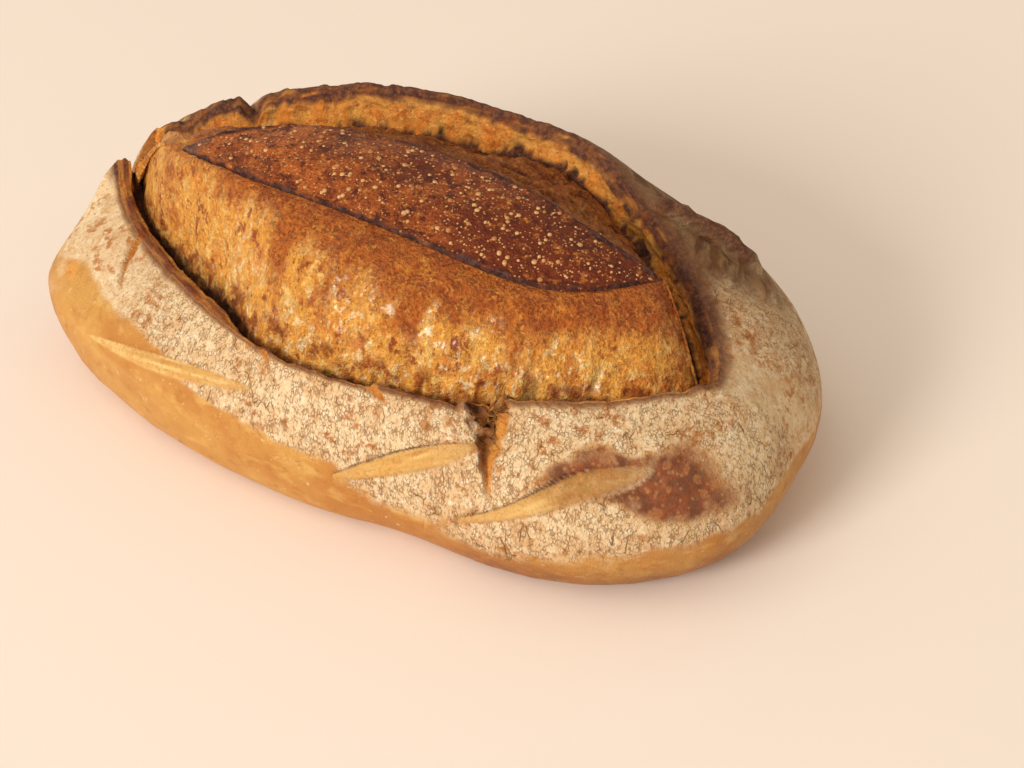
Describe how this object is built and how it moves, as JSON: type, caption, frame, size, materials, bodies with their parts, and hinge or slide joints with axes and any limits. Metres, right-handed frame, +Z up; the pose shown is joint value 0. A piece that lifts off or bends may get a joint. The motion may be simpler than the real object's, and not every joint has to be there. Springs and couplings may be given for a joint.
{
  "type": "sourdough loaf",
  "caption": "Long oval sourdough loaf with a browned, flour-dusted crust that tore open along its top, leaving raised flaps and a leaf of old crust on the burst dough.",
  "frame": {"origin": "centre of the loaf's bounding box in plan, at the level of its flat base", "axes": "+X along the loaf to its blunter end, -Y to the side with the low torn flap, +Z up"},
  "size_m": [0.3014, 0.1614, 0.1068],
  "materials": {
    "crust": null
  },
  "bodies": {
    "root": {"loaf": "crust"}
  },
  "joints": []
}
